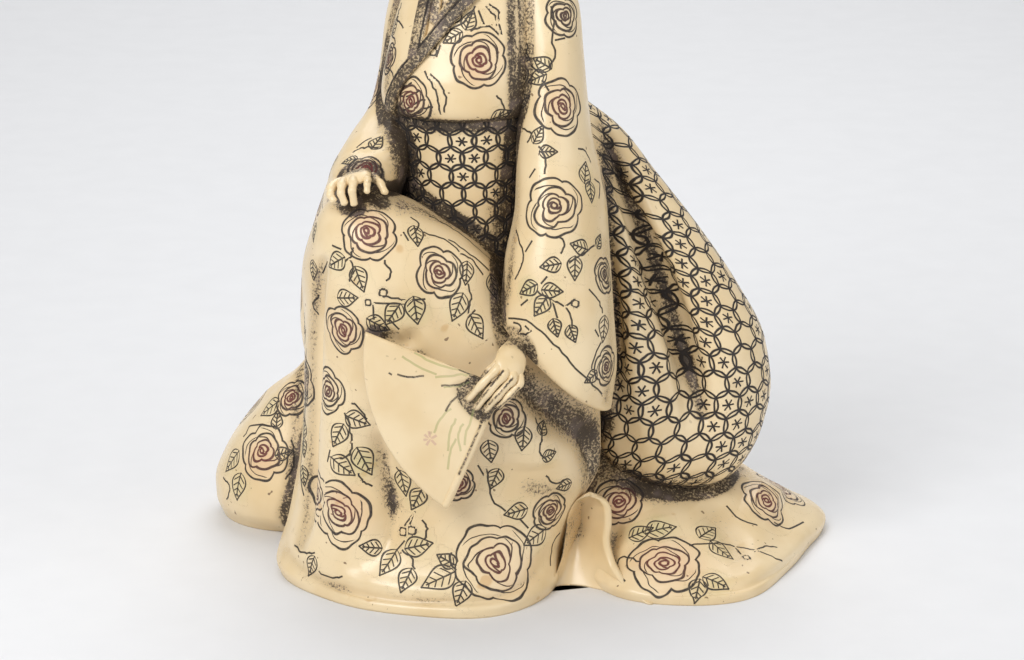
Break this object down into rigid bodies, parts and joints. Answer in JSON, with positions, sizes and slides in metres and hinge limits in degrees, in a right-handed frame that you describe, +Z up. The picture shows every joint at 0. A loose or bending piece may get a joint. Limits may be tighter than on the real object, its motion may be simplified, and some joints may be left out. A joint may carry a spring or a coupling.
{
  "type": "okimono figure",
  "caption": "Cream carving of a seated lady in a flowered kimono and patterned sash, one hand on her raised knee, the other with an open fan.",
  "frame": {"origin": "on the ground, at the middle of the bounding box", "axes": "+Z up; +X to the right of someone who faces the figure; +Y towards her back"},
  "size_m": [0.1925, 0.1229, 0.247],
  "materials": {
    "kimono": "semi-gloss cream resin with dark line work",
    "sash": "semi-gloss cream resin with a circle pattern in dark lines",
    "skin": "semi-gloss cream resin",
    "fan_leaf": "semi-gloss cream resin with faint grass",
    "hair": "semi-gloss dark brown stain",
    "plain": "semi-gloss cream resin",
    "peg": "plain wood"
  },
  "bodies": {
    "root": {"skirt": "kimono", "train_left": "kimono", "train_back": "kimono", "train_right": "kimono", "hem_pleat": "kimono", "torso": "kimono", "under_collar": "plain", "collar": "kimono", "obi": "sash", "obi_knot": "sash", "bow": "sash", "left_sleeve": "kimono", "right_sleeve": "kimono", "left_hand": "skin", "right_hand": "skin", "fan": "fan_leaf", "head": "skin", "hair": "hair", "topknot": "hair", "comb": "plain", "hairpins": "plain", "waist_peg": "peg", "neck_peg": "peg", "topknot_peg": "peg", "knot_peg": "peg", "bow_peg": "peg", "arm_pegs": "peg", "wrist_pegs": "peg", "train_pegs": "peg"}
  },
  "joints": []
}
